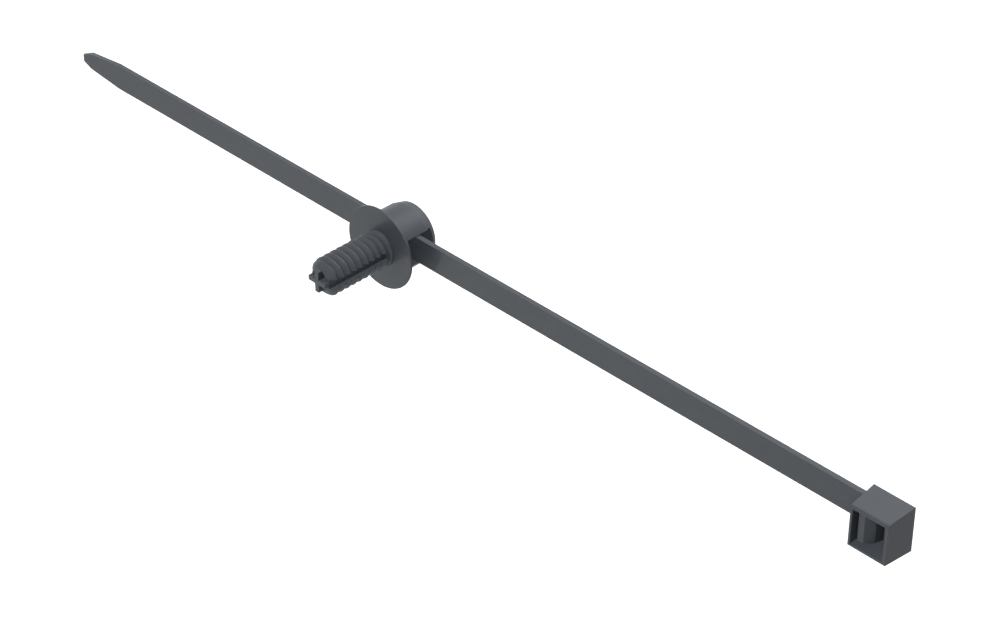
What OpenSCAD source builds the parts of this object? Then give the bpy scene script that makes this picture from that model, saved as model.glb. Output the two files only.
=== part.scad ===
// Wire harness clip: a cable tie whose strap runs loose through the slot of a push-in fir-tree mount.
// Shapes are drawn with the stud along +Z and the strap's width along Y, and turned at the end.
// Turned, the stud points along -Y, the head lies at +X and the strap's width is upright along Z.
// The origin is on the stud's axis, in the face of the disc that seats on the panel.

/* [Strap] */
// Width of the strap
strap_width = 4.8; // [4.2:0.1:5]
// Thickness of the strap
strap_thickness = 1; // [0.8:0.05:1.2]
// Distance from the disc's seat back to the strap's smooth front face
strap_offset = 3.86; // [3.2:0.02:4.6]
// Distance from the stud's axis to the end of the tail
tail_reach = 82.9; // [50:0.1:150]
// Length over which the tail gets narrower
tail_length = 10; // [6:0.5:16]
// Length of the blunt nose at the end of the tail
nose_length = 2; // [1:0.1:4]
// Width of the tail where the nose begins
tail_width = 3.1; // [2.4:0.1:3.8]
// Width of the end of the nose
nose_width = 1.5; // [0.8:0.1:2.2]
// Thickness of the end of the nose
nose_thickness = 0.6; // [0.4:0.05:0.8]

/* [Strap teeth] */
// Distance from one tooth to the next
tooth_pitch = 1; // [0.8:0.05:1.1]
// Depth of the teeth
tooth_depth = 0.35; // [0.2:0.05:0.4]
// Flat top of a tooth
tooth_land = 0.2; // [0.1:0.05:0.4]
// How far the tooth tops lie below the edge rails
tooth_sink = 0.05; // [0.02:0.01:0.1]
// Width of the plain rail on each side of the teeth
rail_width = 0.7; // [0.4:0.05:1.2]
// Length of strap next to the head that has no teeth
plain_length = 20; // [8:1:40]

/* [Head] */
// Distance from the stud's axis to the middle of the head
head_reach = 102.65; // [60:0.05:160]
// Length of the head along the strap, at its open face
head_length = 6.84; // [6.6:0.02:7.6]
// Height of the head across the strap, at its open face
head_height = 7.42; // [7.2:0.02:8.2]
// Depth of the head from its open face to its entry face
head_depth = 5.74; // [5.6:0.02:6.4]
// Distance from the strap's smooth face out to the head's open face
head_rise = 4.45; // [4.4:0.01:4.5]
// How far each side of the head leans out over its depth
head_lean = 0.37; // [0.1:0.01:0.6]
// Thickness of the end wall on the strap's side, at the open face
near_wall = 0.4; // [0.3:0.02:0.6]
// Thickness of the end wall that the strap's tail runs along, at the open face
far_wall = 0.52; // [0.4:0.02:0.7]
// Thickness of the upper rim at the open face
upper_rim = 0.77; // [0.6:0.01:0.9]
// Thickness of the lower rim at the open face
lower_rim = 0.4; // [0.3:0.02:0.9]
// Radius of the upper edge of the open face
upper_round = 0.25; // [0.05:0.05:0.7]
// Radius of the lower edge of the open face
lower_round = 0.1; // [0.05:0.05:0.7]
// Radius of the end edges of the entry face
entry_round = 0.1; // [0.05:0.05:0.6]

/* [Pawl] */
// Depth of the pawl's nose below the open face
pawl_recess = 0.6; // [0.3:0.05:0.8]
// Gap between the pawl's nose and the wall on the strap's side
pawl_gap = 0.8; // [0.4:0.05:0.9]
// Length of the flat end of the pawl's nose
pawl_nose = 1.1; // [0.8:0.05:1.3]
// Length and depth of the sloping cheek beside the nose
pawl_cheek = 1.2; // [0.6:0.05:1.4]
// Depth below the open face of the step under the cheek
pawl_step = 3.3; // [2.6:0.05:3.3]
// How far the side above that step leans out
pawl_draft = 0.35; // [0:0.05:0.5]
// Width of the pawl across the strap
pawl_width = 5; // [4:0.05:5.2]
// Room between the pawl's teeth and the far wall, less than the strap's thickness so that they bite
pawl_room = 0.75; // [0.6:0.05:1]
// Height of the pawl's teeth
pawl_tooth = 0.5; // [0.3:0.05:0.7]
// Depth of the first tooth below the open face
pawl_tooth_start = 3.4; // [3.3:0.05:3.5]
// Thickness of the pawl's bending root
pawl_root = 0.9; // [0.6:0.05:1]
// Depth below the open face of the floor behind the pawl
pocket_depth = 4.5; // [4.3:0.02:4.6]
// Clearance beside the strap in the passage through the head
passage_clearance = 0.25; // [0.1:0.05:0.4]
// Length of the entry opening along the head
entry_length = 2.8; // [2.2:0.05:3]

/* [Disc and boss] */
// Radius of the disc that seats on the panel
disc_radius = 7.46; // [6.5:0.02:9]
// Thickness of the disc
disc_thickness = 0.4; // [0.3:0.05:1]
// Radius of the boss behind the disc
boss_radius = 5.46; // [5:0.02:6.4]
// Radius of the boss's far end
boss_end_radius = 4.96; // [4.4:0.02:5]
// Distance from the seat to the boss's far end
boss_length = 8; // [7.8:0.05:9]
// Length of the taper at the boss's far end
boss_taper = 1.92; // [0.5:0.02:3]
// Distance from the seat to the near side of the slot
slot_start = 1.9; // [1.2:0.05:2.4]
// Length of the slot along the stud's axis
slot_length = 5.3; // [4.4:0.05:5.4]
// Clearance between the slot and each edge of the strap
slot_clearance = 0.3; // [0.15:0.05:0.5]

/* [Stud] */
// Radius over the crests of the ribs
crest_radius = 3.3; // [3.1:0.05:3.8]
// Radius in the valleys between the ribs
valley_radius = 2.7; // [2.5:0.05:2.9]
// Distance from one rib to the next
rib_pitch = 1.35; // [1:0.05:1.8]
// Distance from the seat to the first rib of the upper half
rib_start = 1.46; // [1.4:0.02:2]
// Flat top of a rib
rib_land = 0.2; // [0.1:0.05:0.3]
// Thickness of the collar against the disc, at the foot of its ramp
collar_thickness = 0.5; // [0.35:0.01:0.6]
// Width of the groove along each side of the stud
groove_width = 1.8; // [1:0.05:2.2]
// Distance from the seat to the cap
cap_start = 12; // [6:0.05:20]
// Radius of the cap's base
cap_radius = 3.15; // [2.9:0.05:3.3]
// Length of the cap
cap_length = 1.07; // [0.8:0.01:1.8]
// How far the middle of the cap's flank stands out from a straight cone
cap_bulge = 0.08; // [0:0.01:0.2]
// Radius of the cap's rim
rim_radius = 2; // [1.9:0.02:2.3]
// Wall of the cap's rim
rim_wall = 0.4; // [0.25:0.05:0.5]
// Depth of the four pockets in the cap
cap_pocket = 1; // [0.5:0.05:1.4]
// Thickness of the crossed blades
blade_thickness = 0.88; // [0.6:0.02:1.2]
// How far the crossed blades stand out of the cap
tip_length = 0.8; // [0.3:0.05:1.5]
// How much narrower the blades' radius is at the tip
tip_taper = 0.05; // [0.05:0.05:0.4]

/* [Hidden] */
$fn = 96;
nylon = [0.27, 0.28, 0.29];
// Overlap that lets cuts pass through a face and lets joined shapes share volume
lap = 0.3;
// Radius of corners that look sharp
sharp = 0.02;

strap_front = -strap_offset;
strap_back = strap_front - strap_thickness;
tail_start = tail_length - tail_reach;
head_left = head_reach - head_length / 2;
head_right = head_reach + head_length / 2;
head_face = strap_front + head_rise;
head_entry = head_face - head_depth;
teeth_start = tail_start + tooth_pitch;
tooth_count = floor((head_left - plain_length - teeth_start) / tooth_pitch);

inner_left = head_left + near_wall;
inner_right = head_right - far_wall;
inner_top = head_height / 2 - upper_rim;
inner_bottom = lower_rim - head_height / 2;
pawl_tip = inner_right - pawl_room;
pawl_tooth_count = 2;
passage_height = strap_width + 2 * passage_clearance;

slot_height = strap_width + 2 * slot_clearance;
cap_end = cap_start + cap_length;
stud_end = cap_end + tip_length;
blade_reach = rim_radius - sharp;

// Turns a shape drawn with the stud along +Z so that the stud points along -Y
module turned() {
    rotate([90, 0, 0]) children();
}

// Prism of an outline drawn in X and Z, centred on the strap's width
module along_width(length) {
    rotate([90, 0, 0]) linear_extrude(length, center = true) children();
}

// Outline of the strap, seen from the front: it narrows at the tail and ends in a blunt nose
module strap_outline() {
    half = [nose_width, tail_width, strap_width, strap_width] / 2;
    stations = [-tail_reach, nose_length - tail_reach, tail_start, head_left + lap];
    upper = [for (i = [0:3]) [stations[i], half[i]]];
    lower = [for (i = [3:-1:0]) [stations[i], -half[i]]];
    polygon(concat(upper, lower));
}

// Section along the strap: the smooth face is straight and the tail gets thinner from behind
module strap_section() {
    polygon([
        [-tail_reach, strap_front],
        [head_left + lap, strap_front],
        [head_left + lap, strap_back],
        [tail_start, strap_back],
        [-tail_reach, strap_front - nose_thickness],
    ]);
}

// Row of saw teeth cut into the strap's back: each ramp faces the tail, each steep side faces the head
module teeth_cut() {
    top = strap_back + tooth_sink;
    valley = top + tooth_depth;
    tooth = [[0, valley], [tooth_pitch - tooth_land, top], [tooth_pitch, top]];
    saw = [for (i = [0:tooth_count - 1], p = tooth) [teeth_start + i * tooth_pitch + p[0], p[1]]];
    outside = strap_back - lap;
    ends = [teeth_start + tooth_count * tooth_pitch, teeth_start];
    polygon(concat(saw, [for (x = ends) [x, outside]]));
}

module strap() {
    difference() {
        intersection() {
            translate([0, 0, strap_back]) linear_extrude(strap_thickness) strap_outline();
            along_width(strap_width) strap_section();
        }
        along_width(strap_width - 2 * rail_width) teeth_cut();
    }
}

// Block whose sides lean out from the open face to the entry face, as an outline across [-half, half].
// The two corners at the open face have a radius each, and the two at the entry face share one.
module leaning_outline(half, face_radii, entry_radius) {
    slope = atan(head_lean / head_depth);
    side = [cos(slope), sin(slope)];
    // Centres of the corner arcs, tangent to the face and to the leaning side
    face = [for (r = face_radii) [half + r * (tan(slope) - 1 / cos(slope)), head_face - r]];
    entry = [half + head_lean - entry_radius * (tan(slope) + 1 / cos(slope)), head_entry + entry_radius];
    sides = [for (i = [0, 1]) [
        [entry[0], head_entry],
        entry + entry_radius * side,
        face[i] + face_radii[i] * side,
        [face[i][0], head_face],
    ]];
    polygon(concat(sides[1], [for (i = [3:-1:0]) [-sides[0][i][0], sides[0][i][1]]]));
    for (i = [0, 1]) mirror([1 - i, 0]) {
        translate(face[i]) circle(face_radii[i]);
        translate(entry) circle(entry_radius);
    }
}

module head_block() {
    span = 2 * (head_height + head_length);
    translate([head_reach, 0, 0]) intersection() {
        along_width(span) leaning_outline(head_length / 2, [sharp, sharp], entry_round);
        rotate(90) along_width(span) leaning_outline(head_height / 2, [lower_round, upper_round], sharp);
    }
}

// Hollow of the head: a pocket open to the front, and the strap's passage on to the entry face
module head_hollow() {
    passage_left = inner_right - entry_length;
    translate([inner_left, inner_bottom, head_face - pocket_depth])
        cube([inner_right - inner_left, inner_top - inner_bottom, pocket_depth + lap]);
    translate([passage_left, -passage_height / 2, head_entry - lap])
        cube([entry_length, passage_height, head_depth]);
}

// Pawl, as an outline in X and Z: its nose points to the open face and its root to the entry face
module pawl_outline() {
    cheek_start = pawl_gap + pawl_nose;
    cheek_end = cheek_start + pawl_cheek;
    tip = pawl_tip - inner_left;
    base = tip - pawl_tooth;
    teeth = [for (i = [0:pawl_tooth_count - 1], p = [[tip, 0], [base, tooth_pitch]])
        [p[0], pawl_tooth_start + i * tooth_pitch + p[1]]];
    passage_side = inner_right - entry_length - inner_left;
    nose = [[pawl_gap, pawl_recess], [cheek_start, pawl_recess]];
    cheek = [[cheek_end, pawl_recess + pawl_cheek], [cheek_end + pawl_draft, pawl_step]];
    // The root grows out of the pocket's floor where the passage begins
    root = [for (p = [[0, pawl_root], [-lap, pawl_root], [-lap, lap]]) [passage_side, pocket_depth] + p];
    polygon([for (p = concat(nose, cheek, teeth, root)) [inner_left + p[0], head_face - p[1]]]);
}

module cable_tie() {
    color(nylon) turned() {
        strap();
        difference() {
            head_block();
            head_hollow();
        }
        along_width(pawl_width) pawl_outline();
    }
}

// Half ring of ribs from its first rib up to the cap, each with its ramp towards the tip
module half_ribs(start) {
    inner = valley_radius - lap;
    drop = (crest_radius - valley_radius) / (rib_pitch - rib_land);
    last = floor((cap_start - rib_land - start) / rib_pitch);
    ramps = [for (i = [0:last])
        let (z = start + i * rib_pitch, top = z + rib_land, end = min(z + rib_pitch, cap_start))
        each [[crest_radius, z], [crest_radius, top], [crest_radius - drop * (end - top), end]]];
    rotate_extrude(angle = 180)
        polygon(concat([[inner, start]], ramps, [[inner, cap_start]]));
}

// Cap that leads the stud into the panel's hole, with a slightly bulging flank
module cap() {
    flank = [for (t = [0:0.25:1]) [
        cap_radius + t * (rim_radius - cap_radius) + 4 * cap_bulge * t * (1 - t),
        cap_start + t * cap_length,
    ]];
    below = cap_start - lap;
    rotate_extrude()
        polygon(concat(
            [[0, below], [valley_radius, below], [valley_radius, cap_start]],
            flank,
            [[0, cap_end]]
        ));
}

// Collar against the disc, with a ramp like a rib's, that closes both grooves
module collar() {
    rotate_extrude()
        polygon([
            [0, -lap],
            [valley_radius, -lap],
            [valley_radius, 0],
            [crest_radius, 0],
            [crest_radius, rib_land],
            [valley_radius, collar_thickness],
            [0, collar_thickness],
        ]);
}

// Two blades that cross on the stud's axis, narrowed a little towards the tip
module crossed_blades() {
    start = cap_end - cap_pocket - lap;
    intersection() {
        union() {
            for (turn = [0, 90]) rotate(turn)
                translate([-blade_reach, -blade_thickness / 2, start])
                    cube([2 * blade_reach, blade_thickness, stud_end - start]);
        }
        union() {
            cylinder(r = blade_reach, h = cap_end);
            translate([0, 0, cap_end])
                cylinder(r1 = blade_reach, r2 = blade_reach - tip_taper, h = tip_length);
        }
    }
}

module stud() {
    difference() {
        union() {
            translate([0, 0, -lap]) cylinder(r = valley_radius, h = cap_start + lap);
            collar();
            half_ribs(rib_start);
            rotate(180) half_ribs(rib_start - rib_pitch / 2);
            cap();
        }
        for (turn = [0, 180]) rotate(turn)
            translate([blade_reach, -groove_width / 2, collar_thickness])
                cube([crest_radius, groove_width, stud_end]);
        translate([0, 0, cap_end - cap_pocket])
            cylinder(r = rim_radius - rim_wall, h = cap_pocket + lap);
    }
    crossed_blades();
}

// Disc and boss, with the slot that the strap runs through
module slotted_boss() {
    difference() {
        rotate_extrude()
            polygon([
                [0, -boss_length],
                [boss_end_radius, -boss_length],
                [boss_radius, boss_taper - boss_length],
                [boss_radius, -disc_thickness],
                [disc_radius, -disc_thickness],
                [disc_radius, 0],
                [0, 0],
            ]);
        translate([-disc_radius, -slot_height / 2, -slot_start - slot_length])
            cube([2 * disc_radius, slot_height, slot_length]);
    }
}

module fir_tree_mount() {
    color(nylon) turned() {
        slotted_boss();
        stud();
    }
}

cable_tie();
fir_tree_mount();
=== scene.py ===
# Wire harness clip: a cable tie whose strap runs loose through the slot of a push-in fir-tree mount.
# Meshes are drawn in millimetres with the stud along +Z, then turned so that the stud points along -Y.
import math

import bmesh
import bpy
from bpy.props import FloatProperty, FloatVectorProperty, IntProperty, PointerProperty
from mathutils import Matrix, Vector


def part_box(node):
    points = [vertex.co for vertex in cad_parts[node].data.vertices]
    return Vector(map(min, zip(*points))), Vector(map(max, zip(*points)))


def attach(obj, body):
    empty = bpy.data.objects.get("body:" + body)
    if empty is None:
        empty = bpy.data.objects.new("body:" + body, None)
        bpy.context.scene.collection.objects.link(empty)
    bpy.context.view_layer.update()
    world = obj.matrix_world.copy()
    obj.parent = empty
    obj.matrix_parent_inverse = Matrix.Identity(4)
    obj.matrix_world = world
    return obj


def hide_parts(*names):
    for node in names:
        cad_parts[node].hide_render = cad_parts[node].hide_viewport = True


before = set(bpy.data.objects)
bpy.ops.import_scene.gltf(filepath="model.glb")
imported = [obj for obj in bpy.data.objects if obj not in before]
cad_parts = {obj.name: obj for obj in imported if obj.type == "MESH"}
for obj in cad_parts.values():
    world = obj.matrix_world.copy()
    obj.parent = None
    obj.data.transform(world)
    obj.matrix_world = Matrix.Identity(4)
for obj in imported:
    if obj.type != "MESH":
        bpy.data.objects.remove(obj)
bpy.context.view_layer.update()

bl_info = {
    "name": "Wire harness clip",
    "version": (1, 0, 0),
    "blender": (4, 5, 0),
    "location": "View3D > Sidebar > Harness clip",
    "description": "Builds a cable tie on a push-in fir-tree mount, with its stage",
    "category": "Object",
}

MM = 0.001
TURNED = Matrix(((MM, 0, 0, 0), (0, 0, -MM, 0), (0, MM, 0, 0), (0, 0, 0, 1)))
MOUNT_LOW, MOUNT_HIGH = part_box("fir_tree_mount")
TAIL_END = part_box("cable_tie")[0].x

# Millimetres by which a cutter reaches past a solid, at a wide and at a narrow place
PAST = 1
CLEAR = 0.1

# Millimetres by which joined solids lie in each other: long foot, short foot and touching faces
DEEP = 0.3
INTO = 0.2
SNUG = 0.02

# Rib of the stud in millimetres: middle of its crest where it starts, foot inside the core,
# flat between two turns, rounding of its edges, and bulge of the cap after it
RIB_START = -0.126
RIB_SINK = 0.03
RIB_GAP = 0.06
RIB_EDGE = 0.08
CAP_BULGE = 0.08

# Share of the rib's two flanks that is the long ramp towards the tip, and its points in one turn
RIB_RAMP = 0.68
RIB_POINTS = 96

# Strap in millimetres: crisp edges of its smooth face, softer edges of its back,
# edges of its teeth, and how far the teeth's feet lie in it
STRAP_CRISP = 0.05
STRAP_SOFT = 0.1
TOOTH_EDGE = 0.04
TOOTH_FOOT = 0.05

# Pawl in millimetres: depth of its first tooth below the open face, height of its teeth,
# and how far its root reaches below the pocket's floor
PAWL_TOOTH = 3.4
PAWL_BITE = 0.5
PAWL_ROOT = 0.9

# Floor in metres: half its side, its depth under the clip, and where its glow begins and is full
FLOOR_HALF = 6
FLOOR_DEPTH = 0.6
FLOOR_NEAR = 0.4
FLOOR_FAR = 1.0

# Glow of the floor close to the clip, and light that the clip gets from the world
FLOOR_GLOW = 0.45
WORLD_LIGHT = 0.03


def linear(code):
    """Linear colour of an sRGB hex code."""
    values = [int(code[i:i + 2], 16) / 255 for i in (1, 3, 5)]
    return tuple(v / 12.92 if v <= 0.04045 else ((v + 0.055) / 1.055) ** 2.4 for v in values)


def add_node(tree, kind, inputs=None, **settings):
    """Adds a node with its settings and links.

    An input that is given a socket, or a node for its first output, is linked. Any other is set.
    """
    node = tree.nodes.new(kind)
    for name, value in settings.items():
        setattr(node, name, value)
    for key, value in (inputs or {}).items():
        if isinstance(value, bpy.types.Node):
            value = value.outputs[0]
        if isinstance(value, bpy.types.NodeSocket):
            tree.links.new(value, node.inputs[key])
        else:
            node.inputs[key].default_value = value
    return node


def empty_nodes(owner):
    """Node tree of a material or a world, with nothing in it."""
    owner.use_nodes = True
    owner.node_tree.nodes.clear()
    return owner.node_tree


def size(name, text, default):
    """A length that the user can change, given in metres."""
    return FloatProperty(name=name, description=text, default=default, min=0, unit="LENGTH", precision=5)


def in_mm(group):
    """The lengths of a group of sizes in millimetres, and its counts as they are."""
    values = {name: getattr(group, name) for name in group.__class__.__annotations__}
    return {name: value / MM if isinstance(value, float) else value for name, value in values.items()}


class HARNESSCLIP_mount_sizes(bpy.types.PropertyGroup):
    """Sizes of the fir-tree mount"""
    disc_radius: size("Disc radius", "Radius of the disc that seats on the panel", MOUNT_HIGH.z)
    disc_thickness: size("Disc thickness", "Thickness of the disc", 0.0004)
    boss_radius: size("Boss radius", "Radius of the boss behind the disc", 0.00546)
    boss_end: size("Boss end radius", "Radius of the boss's far end", 0.00496)
    boss_length: size("Boss length", "Distance from the seat to the boss's far end", MOUNT_HIGH.y)
    boss_taper: size("Boss taper", "Length of the taper at the boss's far end", 0.00192)
    slot_start: size("Slot start", "Distance from the seat to the slot", 0.0019)
    slot_length: size("Slot length", "Length of the slot along the stud's axis", 0.0053)
    slot_height: size("Slot height", "Height of the slot across the strap", 0.0054)
    crest: size("Crest radius", "Radius over the crest of the winding rib", 0.0033)
    valley: size("Valley radius", "Radius between the rib's turns", 0.0027)
    pitch: size("Rib pitch", "Distance from one turn of the rib to the next", 0.00135)
    land: size("Rib land", "Flat top of the rib", 0.0002)
    turns: IntProperty(name="Rib turns", description="Turns of the rib along the stud", default=9, min=1)
    collar: size("Collar", "Thickness of the collar against the disc", 0.0005)
    groove: size("Groove width", "Width of the groove along each side of the stud", 0.0018)
    cap_start: size("Cap start", "Distance from the seat to the cap", 0.012)
    cap_radius: size("Cap radius", "Radius of the cap's base", 0.00315)
    cap_length: size("Cap length", "Length of the cap", 0.00107)
    rim: size("Rim radius", "Radius of the cap's rim", 0.002)
    rim_wall: size("Rim wall", "Wall of the cap's rim", 0.0004)
    pocket: size("Cap pocket", "Depth of the four pockets in the cap", 0.001)
    blade: size("Blade thickness", "Thickness of the crossed blades", 0.00088)
    stud_length: size("Stud length", "Distance from the seat to the end of the blades", -MOUNT_LOW.y)


class HARNESSCLIP_tie_sizes(bpy.types.PropertyGroup):
    """Sizes of the cable tie"""
    width: size("Strap width", "Width of the strap", 0.0048)
    thickness: size("Strap thickness", "Thickness of the strap", 0.001)
    offset: size("Strap offset", "Distance from the disc's seat back to the strap's smooth face", 0.00386)
    tail_reach: size("Tail reach", "Distance from the stud's axis to the end of the tail", -TAIL_END)
    tail_length: size("Tail length", "Length over which the tail gets narrower", 0.01)
    nose_length: size("Nose length", "Length of the blunt nose at the end of the tail", 0.002)
    tail_width: size("Tail width", "Width of the tail where the nose begins", 0.0031)
    nose_width: size("Nose width", "Width of the end of the nose", 0.0015)
    tail_thickness: size("Tail thickness", "Thickness of the tail where the nose begins", 0.00095)
    nose_thickness: size("Nose thickness", "Thickness of the end of the nose", 0.00055)
    tooth_pitch: size("Tooth pitch", "Distance from one tooth to the next", 0.001)
    tooth_depth: size("Tooth depth", "Depth of the teeth", 0.00035)
    tooth_land: size("Tooth land", "Flat top of a tooth", 0.0002)
    tooth_sink: size("Tooth sink", "How far the tooth tops lie below the rails", 0.00005)
    rail: size("Rail width", "Width of the plain rail on each side of the teeth", 0.0007)
    plain: size("Plain length", "Length of strap next to the head that has no teeth", 0.02)
    head_reach: size("Head reach", "Distance from the stud's axis to the middle of the head", 0.10265)
    head_length: size("Head length", "Length of the head along the strap, at its open face", 0.00684)
    head_height: size("Head height", "Height of the head across the strap, at its open face", 0.00742)
    head_depth: size("Head depth", "Depth of the head from its open face to its entry face", 0.00574)
    head_rise: size(
        "Head rise", "Distance from the strap's smooth face out to the head's open face", 0.00445,
    )
    head_lean: size("Head lean", "How far each side of the head leans out over its depth", 0.00037)
    near_wall: size("Near wall", "End wall of the head on the strap's side", 0.0004)
    far_wall: size("Far wall", "End wall of the head that the tail runs along", 0.00052)
    upper_rim: size("Upper rim", "Thickness of the upper rim at the open face", 0.00077)
    lower_rim: size("Lower rim", "Thickness of the lower rim at the open face", 0.0004)
    upper_round: size("Upper round", "Radius of the upper rim's outer edge at the open face", 0.00042)
    inner_round: size("Inner round", "Radius of the upper rim's inner edge at the open face", 0.0003)
    lower_round: size("Lower round", "Radius of the lower edge of the open face", 0.0001)
    entry_round: size("Entry round", "Radius of the edges of the entry face", 0.0001)
    pocket: size("Pocket depth", "Depth of the floor behind the pawl", 0.0045)
    entry: size("Entry length", "Length of the entry opening along the head", 0.0028)
    passage: size("Passage height", "Height of the strap's passage through the head", 0.0053)
    pawl_width: size("Pawl width", "Width of the pawl across the strap", 0.005)
    pawl_room: size("Pawl room", "Room between the pawl's teeth and the far wall", 0.00075)


class HARNESSCLIP_colours(bpy.types.PropertyGroup):
    """Colours of the clip and its stage"""
    nylon: FloatVectorProperty(
        name="Nylon", description="Colour of the moulded nylon", subtype="COLOR", size=3,
        min=0, max=1, default=linear("#4e5359"),
    )
    floor: FloatVectorProperty(
        name="Floor", description="Colour of the floor", subtype="COLOR", size=3,
        min=0, max=1, default=linear("#f6f6f6"),
    )


def moulded_nylon(colour):
    """Polyamide 66, injection moulded in a spark-eroded mould."""
    # To the eye it is dark grey with a satin sheen, has a fine grain that breaks up highlights,
    # and a faint uneven tone from the melt's flow
    material = bpy.data.materials.new("nylon_moulded_satin")
    tree = empty_nodes(material)
    place = add_node(tree, "ShaderNodeTexCoord").outputs["Object"]
    # Flow tone changes over about 9 mm, stretched four times along the strap
    stretched = add_node(tree, "ShaderNodeMapping", {"Vector": place, "Scale": (0.25, 1, 1)})
    flow = add_node(tree, "ShaderNodeTexNoise", {"Vector": stretched, "Scale": 1 / (9 * MM), "Detail": 3})
    tone = add_node(tree, "ShaderNodeMapRange", {
        "Value": flow, "From Min": 0.3, "From Max": 0.7, "To Min": 0.96, "To Max": 1.04,
    })
    tinted = add_node(tree, "ShaderNodeVectorMath", {0: colour, "Scale": tone}, operation="SCALE")
    # Grain of a spark-eroded mould is about 0.05 mm, drawn at 0.2 mm so that it shows
    grain = add_node(tree, "ShaderNodeTexNoise", {"Vector": place, "Scale": 1 / (0.2 * MM), "Detail": 2})
    satin = add_node(tree, "ShaderNodeMapRange", {
        "Value": grain, "From Min": 0.3, "From Max": 0.7, "To Min": 0.5, "To Max": 0.62,
    })
    bump = add_node(tree, "ShaderNodeBump", {"Height": grain, "Strength": 0.25, "Distance": 0.02 * MM})
    shader = add_node(tree, "ShaderNodeBsdfPrincipled", {
        "Base Color": tinted, "Roughness": satin, "IOR": 1.53, "Specular IOR Level": 0.35, "Normal": bump,
    })
    add_node(tree, "ShaderNodeOutputMaterial", {"Surface": shader})
    return material


def nylon():
    """The one nylon that both mouldings share."""
    made = bpy.data.materials.get("nylon_moulded_satin")
    return made or moulded_nylon(tuple(bpy.context.scene.clip_colours.nylon))


def mesh_object(name, bm):
    """Object of a bmesh in millimetres, with its faces turned outwards."""
    bmesh.ops.remove_doubles(bm, verts=bm.verts, dist=1e-5)
    bmesh.ops.recalc_face_normals(bm, faces=bm.faces)
    mesh = bpy.data.meshes.new(name)
    bm.to_mesh(mesh)
    bm.free()
    thing = bpy.data.objects.new(name, mesh)
    bpy.context.scene.collection.objects.link(thing)
    return thing


def rounded(corners, steps=4):
    """Points of an open line of (u, v, radius) corners, each corner with a radius turned into an arc."""
    points = []
    for i, (u, v, radius) in enumerate(corners):
        here = Vector((u, v))
        if radius == 0 or i in (0, len(corners) - 1):
            points.append(here)
            continue
        back = (Vector(corners[i - 1][:2]) - here).normalized()
        ahead = (Vector(corners[i + 1][:2]) - here).normalized()
        half = back.angle(ahead) / 2
        centre = here + (back + ahead).normalized() * radius / math.sin(half)
        start = here + back * radius / math.tan(half) - centre
        end = here + ahead * radius / math.tan(half) - centre
        turn = start.angle_signed(end)
        points += [centre + Matrix.Rotation(-turn * k / steps, 2) @ start for k in range(steps + 1)]
    return points


def lathe(name, corners):
    """Solid turned about Z from a line of (radius, height, corner radius), from axis to axis."""
    bm = bmesh.new()
    steps = 128
    rings = []
    for r, z in rounded(corners):
        if r < 1e-6:
            rings.append([bm.verts.new((0, 0, z))] * steps)
        else:
            rings.append([
                bm.verts.new((r * math.cos(a), r * math.sin(a), z))
                for a in (2 * math.pi * k / steps for k in range(steps))
            ])
    for low, high in zip(rings, rings[1:]):
        for k in range(steps):
            corner = [low[k], low[(k + 1) % steps], high[(k + 1) % steps], high[k]]
            bm.faces.new(list(dict.fromkeys(corner)))
    return mesh_object(name, bm)


def loft(name, sections):
    """Solid through a row of closed sections with the same number of points."""
    bm = bmesh.new()
    rings = [[bm.verts.new(p) for p in section] for section in sections]
    for low, high in zip(rings, rings[1:]):
        for k in range(len(low)):
            m = (k + 1) % len(low)
            bm.faces.new((low[k], low[m], high[m], high[k]))
    bm.faces.new(rings[0])
    bm.faces.new(rings[-1])
    return mesh_object(name, bm)


def block(name, low, high):
    """Box between two corners."""
    bm = bmesh.new()
    bmesh.ops.create_cube(bm, size=1)
    low, high = Vector(low), Vector(high)
    for v in bm.verts:
        v.co = [low[i] + (v.co[i] + 0.5) * (high[i] - low[i]) for i in range(3)]
    return mesh_object(name, bm)


def applied(thing):
    """Turns the evaluated object into a plain mesh and removes its modifiers."""
    graph = bpy.context.evaluated_depsgraph_get()
    mesh = bpy.data.meshes.new_from_object(
        thing.evaluated_get(graph), preserve_all_data_layers=True, depsgraph=graph,
    )
    thing.modifiers.clear()
    old = thing.data
    thing.data = mesh
    bpy.data.meshes.remove(old)
    return thing


def outwards(thing):
    """Turns the faces of a closed shape outwards."""
    bm = bmesh.new()
    bm.from_mesh(thing.data)
    bmesh.ops.recalc_face_normals(bm, faces=bm.faces)
    bm.to_mesh(thing.data)
    bm.free()
    return thing


def join_shells(thing, other):
    """Puts another closed shape into the same mesh and removes it."""
    bm = bmesh.new()
    bm.from_mesh(thing.data)
    bm.from_mesh(other.data)
    bm.to_mesh(thing.data)
    bm.free()
    bpy.data.objects.remove(other)


def join_solid(thing, tool, operation):
    """Adds a solid or cuts with it, and removes it."""
    step = thing.modifiers.new(operation.lower(), "BOOLEAN")
    step.operation = operation
    step.solver = "EXACT"
    step.object = tool
    applied(thing)
    bpy.data.objects.remove(tool)
    if not thing.data.polygons:
        raise RuntimeError(f"{operation} left nothing of {thing.name}")
    return thing


def soften(thing, width):
    """Rounds the sharp edges as a mould leaves them."""
    step = thing.modifiers.new("edges", "BEVEL")
    step.width = width
    step.segments = 2
    step.limit_method = "ANGLE"
    step.angle_limit = math.radians(30)
    step.miter_outer = "MITER_ARC"
    return applied(thing)


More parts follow.
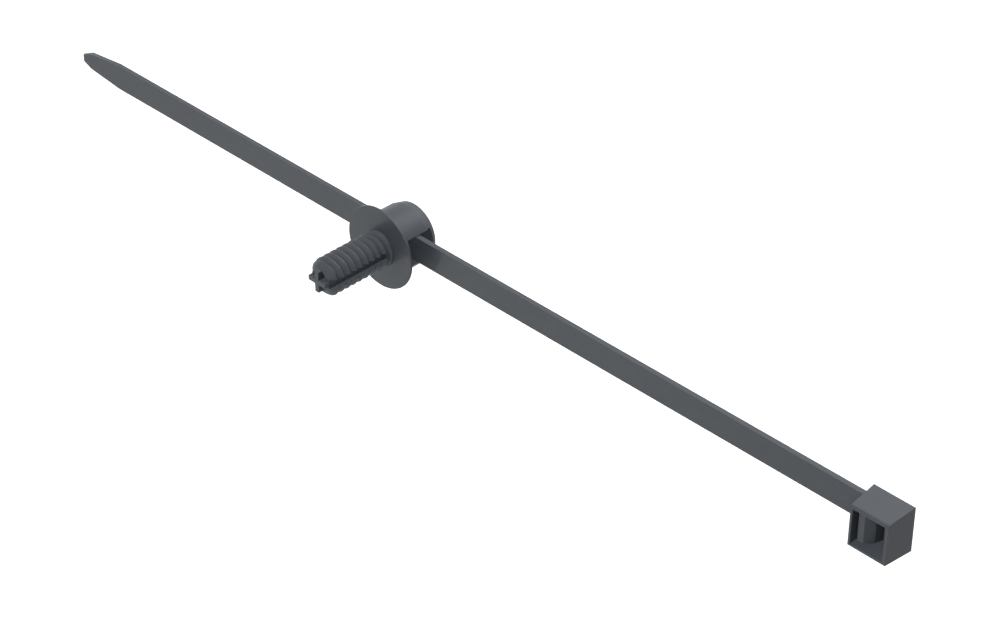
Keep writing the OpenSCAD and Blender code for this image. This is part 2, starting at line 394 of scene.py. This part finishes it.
def finished(thing, body, node):
    """Turns a moulding into the row frame, shades it and lets it stand for its CAD node."""
    mesh = thing.data
    mesh.transform(TURNED)
    mesh.materials.clear()
    mesh.materials.append(nylon())
    mesh.polygons.foreach_set("material_index", [0] * len(mesh.polygons))
    mesh.shade_smooth()
    mesh.set_sharp_from_angle(angle=math.radians(40))
    # Flat faces stay flat up to their rounded edges
    step = thing.modifiers.new("shading", "WEIGHTED_NORMAL")
    step.keep_sharp = True
    applied(thing)
    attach(thing, body)
    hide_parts(node)


def new_tree(name, inputs):
    """Geometry Nodes tree with named inputs, and the sockets that give their values."""
    tree = bpy.data.node_groups.new(name, "GeometryNodeTree")
    tree.interface.new_socket("Geometry", in_out="OUTPUT", socket_type="NodeSocketGeometry")
    for title, kind in inputs.items():
        tree.interface.new_socket(title, in_out="INPUT", socket_type="NodeSocket" + kind)
    return tree, add_node(tree, "NodeGroupInput").outputs


def end_tree(tree, shape, material):
    """Ends a tree with its shape as one plain mesh that has its material."""
    plain = add_node(tree, "GeometryNodeRealizeInstances", {"Geometry": shape})
    dressed = add_node(tree, "GeometryNodeSetMaterial", {"Geometry": plain, "Material": material})
    add_node(tree, "NodeGroupOutput", {0: dressed})
    return tree


def winding_rib_tree():
    """Tree of one rib that winds along the stud: a rounded saw-tooth profile on a helix."""
    tree, sizes = new_tree("winding_rib", {
        "Turns": "Float", "Points Per Turn": "Int", "Pitch": "Float", "Start": "Float",
        "Crest": "Float", "Foot": "Float", "Land": "Float", "Ramp": "Float", "Back": "Float",
        "Edge": "Float", "Material": "Material",
    })
    rise = add_node(tree, "ShaderNodeMath", {0: sizes["Turns"], 1: sizes["Pitch"]}, operation="MULTIPLY")
    helix = add_node(tree, "GeometryNodeCurveSpiral", {
        "Resolution": sizes["Points Per Turn"], "Rotations": sizes["Turns"],
        "Start Radius": sizes["Foot"], "End Radius": sizes["Foot"], "Height": rise, "Reverse": True,
    })
    lift = add_node(tree, "ShaderNodeCombineXYZ", {"Z": sizes["Start"]})
    raised = add_node(tree, "GeometryNodeSetPosition", {"Geometry": helix, "Offset": lift})
    upright = add_node(tree, "GeometryNodeSetCurveNormal", {"Curve": raised}, mode="Z_UP")
    # In the profile X points away from the axis and Y points towards the disc
    half = add_node(tree, "ShaderNodeMath", {0: sizes["Land"], 1: 0.5}, operation="MULTIPLY")
    less = add_node(tree, "ShaderNodeMath", {0: sizes["Land"], 1: -0.5}, operation="MULTIPLY")
    height = add_node(tree, "ShaderNodeMath", {0: sizes["Crest"], 1: sizes["Foot"]}, operation="SUBTRACT")
    ahead = add_node(tree, "ShaderNodeMath", {0: less, 1: sizes["Ramp"]}, operation="SUBTRACT")
    behind = add_node(tree, "ShaderNodeMath", {0: half, 1: sizes["Back"]}, operation="ADD")
    profile = add_node(tree, "GeometryNodeCurvePrimitiveQuadrilateral", {
        "Point 1": add_node(tree, "ShaderNodeCombineXYZ", {"Y": ahead}),
        "Point 2": add_node(tree, "ShaderNodeCombineXYZ", {"X": height, "Y": less}),
        "Point 3": add_node(tree, "ShaderNodeCombineXYZ", {"X": height, "Y": half}),
        "Point 4": add_node(tree, "ShaderNodeCombineXYZ", {"Y": behind}),
    }, mode="POINTS")
    eased = add_node(tree, "GeometryNodeFilletCurve", {
        "Curve": profile, "Radius": sizes["Edge"], "Limit Radius": True, "Count": 3,
    }, mode="POLY")
    rib = add_node(tree, "GeometryNodeCurveToMesh", {
        "Curve": upright, "Profile Curve": eased, "Fill Caps": True,
    })
    return end_tree(tree, rib, sizes["Material"])


def from_tree(name, tree, values):
    """Plain mesh object that a Geometry Nodes tree makes from the named inputs."""
    thing = mesh_object(name, bmesh.new())
    step = thing.modifiers.new("tree", "NODES")
    step.node_group = tree
    for item in tree.interface.items_tree:
        if item.item_type == "SOCKET" and item.in_out == "INPUT":
            step[item.identifier] = values[item.name]
    return outwards(applied(thing))


class HARNESSCLIP_OT_mount(bpy.types.Operator):
    """Builds the fir-tree mount: ribbed stud, disc and slotted boss in one moulding"""
    bl_idname = "harnessclip.mount"
    bl_label = "Fir-tree mount"
    bl_options = {"REGISTER", "UNDO"}

    def execute(self, context):
        s = in_mm(context.scene.clip_mount)
        boss = lathe("fir_tree_moulding", [
            (0, -s["boss_length"], 0),
            (s["boss_end"], -s["boss_length"], 0.2),
            (s["boss_radius"], s["boss_taper"] - s["boss_length"], 0.5),
            (s["boss_radius"], -s["disc_thickness"], 0.12),
            (s["disc_radius"], -s["disc_thickness"], 0.1),
            (s["disc_radius"], 0, 0.1),
            (0, 0, 0),
        ])
        slot_end = s["slot_start"] + s["slot_length"]
        reach, half = s["disc_radius"], s["slot_height"] / 2
        slot = block("slot", (-reach, -half, -slot_end), (reach, half, -s["slot_start"]))
        join_solid(boss, slot, "DIFFERENCE")
        cap_end = s["cap_start"] + s["cap_length"]
        stud = lathe("stud", [
            (0, -PAST, 0),
            (s["valley"], -PAST, 0),
            (s["valley"], -INTO, 0),
            (s["crest"], -INTO, 0),
            (s["crest"], s["land"], 0.05),
            (s["valley"], s["collar"], 0),
            (s["valley"], s["cap_start"], 0),
            (s["cap_radius"], s["cap_start"], 0.06),
            ((s["cap_radius"] + s["rim"]) / 2 + CAP_BULGE, s["cap_start"] + s["cap_length"] / 2, 0.5),
            (s["rim"], cap_end, 0.06),
            (s["rim"] - s["rim_wall"], cap_end, 0.05),
            (s["rim"] - s["rim_wall"], cap_end - s["pocket"], 0),
            (0, cap_end - s["pocket"], 0),
        ])
        # The foot lies a little inside the core and leaves a narrow flat between the turns
        flank = s["pitch"] - s["land"] - RIB_GAP
        rib = from_tree("rib", winding_rib_tree(), {
            "Turns": float(s["turns"]), "Points Per Turn": RIB_POINTS, "Pitch": s["pitch"],
            "Start": RIB_START, "Crest": s["crest"], "Foot": s["valley"] - RIB_SINK,
            "Land": s["land"], "Ramp": RIB_RAMP * flank, "Back": (1 - RIB_RAMP) * flank,
            "Edge": RIB_EDGE, "Material": nylon(),
        })
        join_solid(stud, rib, "UNION")
        inside, half = s["rim"] - SNUG, s["groove"] / 2
        for side in (-1, 1):
            near, far = sorted((side * inside, side * 2 * s["crest"]))
            groove = block("groove", (near, -half, s["collar"]), (far, half, s["stud_length"]))
            join_solid(stud, groove, "DIFFERENCE")
        root = cap_end - s["pocket"] - DEEP
        for x, y in ((inside, s["blade"] / 2), (s["blade"] / 2, inside)):
            blade = block("blade", (-x, -y, root), (x, y, s["stud_length"]))
            soften(blade, 0.05)
            join_solid(stud, blade, "UNION")
        join_solid(boss, stud, "UNION")
        finished(boss, "mount", "fir_tree_mount")
        return {"FINISHED"}


def tooth_row_tree():
    """Tree of the row of saw teeth on the strap's back: one wedge set along a line."""
    tree, sizes = new_tree("tooth_row", {
        "Count": "Int", "Pitch": "Float", "First": "Float", "Floor": "Float", "Width": "Float",
        "Depth": "Float", "Land": "Float", "Sunk": "Float", "Edge": "Float", "Material": "Material",
    })
    # In the profile X points towards the head and Y points away from the strap
    below = add_node(tree, "ShaderNodeMath", {0: sizes["Sunk"], 1: -1.0}, operation="MULTIPLY")
    slope = add_node(tree, "ShaderNodeMath", {0: sizes["Pitch"], 1: sizes["Land"]}, operation="SUBTRACT")
    profile = add_node(tree, "GeometryNodeCurvePrimitiveQuadrilateral", {
        "Point 1": add_node(tree, "ShaderNodeCombineXYZ", {"Y": below}),
        "Point 2": add_node(tree, "ShaderNodeCombineXYZ", {"X": slope, "Y": sizes["Depth"]}),
        "Point 3": add_node(tree, "ShaderNodeCombineXYZ", {"X": sizes["Pitch"], "Y": sizes["Depth"]}),
        "Point 4": add_node(tree, "ShaderNodeCombineXYZ", {"X": sizes["Pitch"], "Y": below}),
    }, mode="POINTS")
    eased = add_node(tree, "GeometryNodeFilletCurve", {
        "Curve": profile, "Radius": sizes["Edge"], "Limit Radius": True, "Count": 2,
    }, mode="POLY")
    left = add_node(tree, "ShaderNodeMath", {0: sizes["Width"], 1: -0.5}, operation="MULTIPLY")
    right = add_node(tree, "ShaderNodeMath", {0: sizes["Width"], 1: 0.5}, operation="MULTIPLY")
    across = add_node(tree, "GeometryNodeCurvePrimitiveLine", {
        "Start": add_node(tree, "ShaderNodeCombineXYZ", {"Y": left}),
        "End": add_node(tree, "ShaderNodeCombineXYZ", {"Y": right}),
    })
    upright = add_node(tree, "GeometryNodeSetCurveNormal", {"Curve": across}, mode="Z_UP")
    tooth = add_node(tree, "GeometryNodeCurveToMesh", {
        "Curve": upright, "Profile Curve": eased, "Fill Caps": True,
    })
    line = add_node(tree, "GeometryNodeMeshLine", {
        "Count": sizes["Count"],
        "Start Location": add_node(tree, "ShaderNodeCombineXYZ", {
            "X": sizes["First"], "Z": sizes["Floor"],
        }),
        "Offset": add_node(tree, "ShaderNodeCombineXYZ", {"X": sizes["Pitch"]}),
    })
    row = add_node(tree, "GeometryNodeInstanceOnPoints", {"Points": line, "Instance": tooth})
    return end_tree(tree, row, sizes["Material"])


class HARNESSCLIP_OT_tie(bpy.types.Operator):
    """Builds the cable tie: toothed strap and locking head with its pawl in one moulding"""
    bl_idname = "harnessclip.tie"
    bl_label = "Cable tie"
    bl_options = {"REGISTER", "UNDO"}

    def execute(self, context):
        s = in_mm(context.scene.clip_tie)
        tie = self.head(s)
        join_solid(tie, self.strap(s), "UNION")
        join_shells(tie, self.teeth(s))
        finished(tie, "tie", "cable_tie")
        return {"FINISHED"}

    def strap(self, s):
        front = -s["offset"]
        join = s["head_reach"] - s["head_length"] / 2 + INTO
        sections = []
        for x, width, thickness in (
            (-s["tail_reach"], s["nose_width"], s["nose_thickness"]),
            (s["nose_length"] - s["tail_reach"], s["tail_width"], s["tail_thickness"]),
            (s["tail_length"] - s["tail_reach"], s["width"], s["thickness"]),
            (join, s["width"], s["thickness"]),
        ):
            # The smooth face has crisp edges, and the back has softer ones
            y, low = width / 2, front - thickness
            line = rounded([
                (0, front, 0), (y, front, STRAP_CRISP), (y, low, STRAP_SOFT),
                (-y, low, STRAP_SOFT), (-y, front, STRAP_CRISP), (0, front, 0),
            ], 3)
            sections.append([(x, u, v) for u, v in line[:-1]])
        strap = loft("strap", sections)
        first, count = self.row(s)
        half = s["width"] / 2 - s["rail"]
        back = front - s["thickness"]
        channel = block(
            "channel", (first, -half, back - PAST),
            (first + count * s["tooth_pitch"], half, back + s["tooth_sink"] + s["tooth_depth"]),
        )
        return join_solid(strap, channel, "DIFFERENCE")

    def row(self, s):
        first = s["tail_length"] - s["tail_reach"] + s["tooth_pitch"]
        room = s["head_reach"] - s["head_length"] / 2 - s["plain"] - first
        return first, int(room / s["tooth_pitch"])

    def teeth(self, s):
        first, count = self.row(s)
        return from_tree("teeth", tooth_row_tree(), {
            "Count": count, "Pitch": s["tooth_pitch"], "First": first,
            "Floor": -s["offset"] - s["thickness"] + s["tooth_sink"] + s["tooth_depth"],
            "Width": s["width"] - 2 * s["rail"] + 2 * SNUG, "Depth": s["tooth_depth"],
            "Land": s["tooth_land"], "Sunk": TOOTH_FOOT, "Edge": TOOTH_EDGE, "Material": nylon(),
        })

    def head(self, s):
        face = s["head_rise"] - s["offset"]
        entry = face - s["head_depth"]
        long, tall, lean = s["head_length"] / 2, s["head_height"] / 2, s["head_lean"]
        middle = s["head_reach"]
        # Sides lean out from the open face to the entry face. The roof meets the open face in a soft edge
        outline = rounded([
            (0, face, 0), (tall, face, s["upper_round"]), (tall + lean, entry, s["entry_round"]),
            (-tall - lean, entry, s["entry_round"]), (-tall, face, s["lower_round"]), (0, face, 0),
        ], 5)[:-1]
        head = loft("cable_tie_moulding", [
            [(middle + side * (long + lean * (face - z) / s["head_depth"]), y, z) for y, z in outline]
            for side in (-1, 1)
        ])
        left, right = middle - long + s["near_wall"], middle + long - s["far_wall"]
        low, high = s["lower_rim"] - tall, tall - s["upper_rim"]
        pocket = block("pocket", (left, low, face - s["pocket"]), (right, high, face + PAST))
        join_solid(head, pocket, "DIFFERENCE")
        # The upper rim is rounded to the inside as well, so that it shades off into the pocket
        soft = s["inner_round"]
        arc = rounded([
            (high + soft + PAST, face, 0), (high, face, soft), (high, face - soft - PAST, 0),
        ], 5)[1:-1]
        under, front = high - CLEAR, face + CLEAR
        section = [*arc, (under, face - soft), (under, front), (high + soft, front)]
        easing = loft("easing", [[(x, y, z) for y, z in section] for x in (left, right)])
        join_solid(head, easing, "DIFFERENCE")
        near, half = right - s["entry"], s["passage"] / 2
        passage = block("passage", (near, -half, entry - PAST), (right, half, face))
        join_solid(head, passage, "DIFFERENCE")
        # Pawl, as distances from the near wall and depths below the open face:
        # front, slope and side, then its teeth, then its root
        tip, root = right - s["pawl_room"] - left, near - left
        first, second = PAWL_TOOTH + s["tooth_pitch"], PAWL_TOOTH + 2 * s["tooth_pitch"]
        end = s["pocket"] + PAWL_ROOT
        outline = [
            (0.8, 0.6), (1.9, 0.6), (3.1, 1.8), (3.45, PAWL_TOOTH - 0.1),
            (tip, PAWL_TOOTH), (tip - PAWL_BITE, first), (tip, first), (tip - PAWL_BITE, second),
            (root, end), (root - DEEP, end), (root - DEEP, s["pocket"] + DEEP),
        ]
        half = s["pawl_width"] / 2
        pawl = loft("pawl", [[(left + u, y, face - v) for u, v in outline] for y in (-half, half)])
        join_solid(head, pawl, "UNION")
        return soften(head, 0.06)


def lamp(name, direction, distance, side, power, shadow=True):
    """Square soft box with sides in metres, placed in a direction from the clip and turned to it."""
    light = bpy.data.lights.new(name, "AREA")
    light.size = side
    light.energy = power
    light.use_shadow = shadow
    thing = bpy.data.objects.new(name, light)
    aim = Vector(direction).normalized()
    thing.location = aim * distance
    thing.rotation_euler = aim.to_track_quat("Z", "Y").to_euler()
    bpy.context.scene.collection.objects.link(thing)


def seen_rays(tree):
    """1 for rays that show the background: seen by the camera, mirrored or through something clear."""
    rays = add_node(tree, "ShaderNodeLightPath").outputs
    mirrored = add_node(tree, "ShaderNodeMath", {
        0: rays["Is Camera Ray"], 1: rays["Is Glossy Ray"],
    }, operation="MAXIMUM")
    return add_node(tree, "ShaderNodeMath", {
        0: mirrored, 1: rays["Is Transmission Ray"],
    }, operation="MAXIMUM")


class HARNESSCLIP_OT_stage(bpy.types.Operator):
    """Sets up the pale floor, the soft light and the camera"""
    bl_idname = "harnessclip.stage"
    bl_label = "Stage"
    bl_options = {"REGISTER", "UNDO"}

    def execute(self, context):
        scene = context.scene
        scene.view_settings.view_transform = "Standard"
        self.floor(scene)
        self.light(scene)
        self.camera(scene)
        return {"FINISHED"}

    def floor(self, scene):
        bm = bmesh.new()
        bmesh.ops.create_grid(bm, x_segments=1, y_segments=1, size=FLOOR_HALF)
        floor = mesh_object("floor", bm)
        for v in floor.data.vertices:
            v.co.z = -FLOOR_DEPTH
        paint = bpy.data.materials.new("floor_matt_paint")
        tree = empty_nodes(paint)
        # Matt paint shows white and keeps the shadow. It gives back less light than it shows,
        # so that the clip's underside stays dark
        white = add_node(tree, "ShaderNodeBsdfDiffuse", {"Color": (*scene.clip_colours.floor, 1)})
        place = add_node(tree, "ShaderNodeTexCoord").outputs["Object"]
        reach = add_node(tree, "ShaderNodeVectorMath", {0: place}, operation="LENGTH")
        far = add_node(tree, "ShaderNodeMapRange", {
            "Value": reach.outputs["Value"], "From Min": FLOOR_NEAR, "From Max": FLOOR_FAR,
            "To Min": FLOOR_GLOW, "To Max": 1.0,
        }, interpolation_type="SMOOTHSTEP")
        glow = add_node(tree, "ShaderNodeEmission", {"Strength": far})
        shown = add_node(tree, "ShaderNodeAddShader", {0: white, 1: glow})
        dim = add_node(tree, "ShaderNodeBsdfDiffuse", {"Color": (*linear("#aaaaaa"), 1)})
        mixed = add_node(tree, "ShaderNodeMixShader", {0: seen_rays(tree), 1: dim, 2: shown})
        add_node(tree, "ShaderNodeOutputMaterial", {"Surface": mixed})
        floor.data.materials.append(paint)

    def light(self, scene):
        world = bpy.data.worlds.new("studio")
        tree = empty_nodes(world)
        level = add_node(tree, "ShaderNodeMapRange", {
            "Value": seen_rays(tree), "To Min": WORLD_LIGHT, "To Max": 1.0,
        })
        ground = add_node(tree, "ShaderNodeBackground", {"Strength": level})
        add_node(tree, "ShaderNodeOutputWorld", {"Surface": ground})
        scene.world = world
        # Direction from the clip, distance and side in metres, power in watts. The first is small
        # and low, so that the stud throws its shadow on the disc and the disc on the strap
        lamp("shadow_box", (-0.83, -1, -0.74), 1.15, 0.02, 0.85)
        lamp("left_box", (-0.5, -0.75, 0.4), 1.2, 0.8, 1.3)
        lamp("fill_box", (0.577, -0.577, 0.577), 1.2, 0.24, 2.2)
        lamp("back_box", (0.1, 0.7, 0.7), 0.6, 0.4, 2.0)
        lamp("edge_box", (-0.95, 0.3, 0.0), 1.2, 0.5, 3.6)
        # Two even lights cast no shadow, so that slot and pocket aren't black
        lamp("even_front", (0, -1, 0), 1.2, 0.1, 2.3, shadow=False)
        lamp("even_top", (0, 0, 1), 1.2, 0.1, 6.4, shadow=False)

    def camera(self, scene):
        lens = bpy.data.cameras.new("photo_camera")
        lens.lens = 101.25
        lens.sensor_width = 36
        lens.shift_x = 0.00006875
        lens.shift_y = -0.0112277
        lens.clip_start = 0.01
        camera = bpy.data.objects.new("photo_camera", lens)
        camera.location = (0.2833581, -0.2554760, 0.2593646)
        # Isometric direction: 45 degrees round and as high as a cube's diagonal.
        # Place, lens and shift were fitted to the edges of the strap, the head and the disc
        camera.rotation_euler = (math.radians(90) - math.asin(1 / math.sqrt(3)), 0, math.radians(45))
        scene.collection.objects.link(camera)
        scene.camera = camera


class HARNESSCLIP_PT_panel(bpy.types.Panel):
    """Lists the pieces of the clip, with their sizes and colours"""
    bl_idname = "HARNESSCLIP_PT_panel"
    bl_label = "Harness clip"
    bl_space_type = "VIEW_3D"
    bl_region_type = "UI"
    bl_category = "Harness clip"

    def draw(self, context):
        layout = self.layout
        for operator in OPERATORS:
            layout.operator(operator.bl_idname)
        for group in (context.scene.clip_mount, context.scene.clip_tie, context.scene.clip_colours):
            box = layout.box()
            for name in group.__class__.__annotations__:
                box.prop(group, name)


OPERATORS = (HARNESSCLIP_OT_mount, HARNESSCLIP_OT_tie, HARNESSCLIP_OT_stage)
GROUPS = {
    "clip_mount": HARNESSCLIP_mount_sizes,
    "clip_tie": HARNESSCLIP_tie_sizes,
    "clip_colours": HARNESSCLIP_colours,
}


def register():
    for group in GROUPS.values():
        bpy.utils.register_class(group)
    for name, group in GROUPS.items():
        setattr(bpy.types.Scene, name, PointerProperty(type=group))
    for kind in (*OPERATORS, HARNESSCLIP_PT_panel):
        bpy.utils.register_class(kind)


def unregister():
    for kind in (HARNESSCLIP_PT_panel, *reversed(OPERATORS)):
        bpy.utils.unregister_class(kind)
    for name in GROUPS:
        delattr(bpy.types.Scene, name)
    for group in reversed(GROUPS.values()):
        bpy.utils.unregister_class(group)


def main():
    register()
    bpy.ops.harnessclip.mount()
    bpy.ops.harnessclip.tie()
    bpy.ops.harnessclip.stage()
    bpy.context.view_layer.update()


if __name__ == "__main__":
    main()
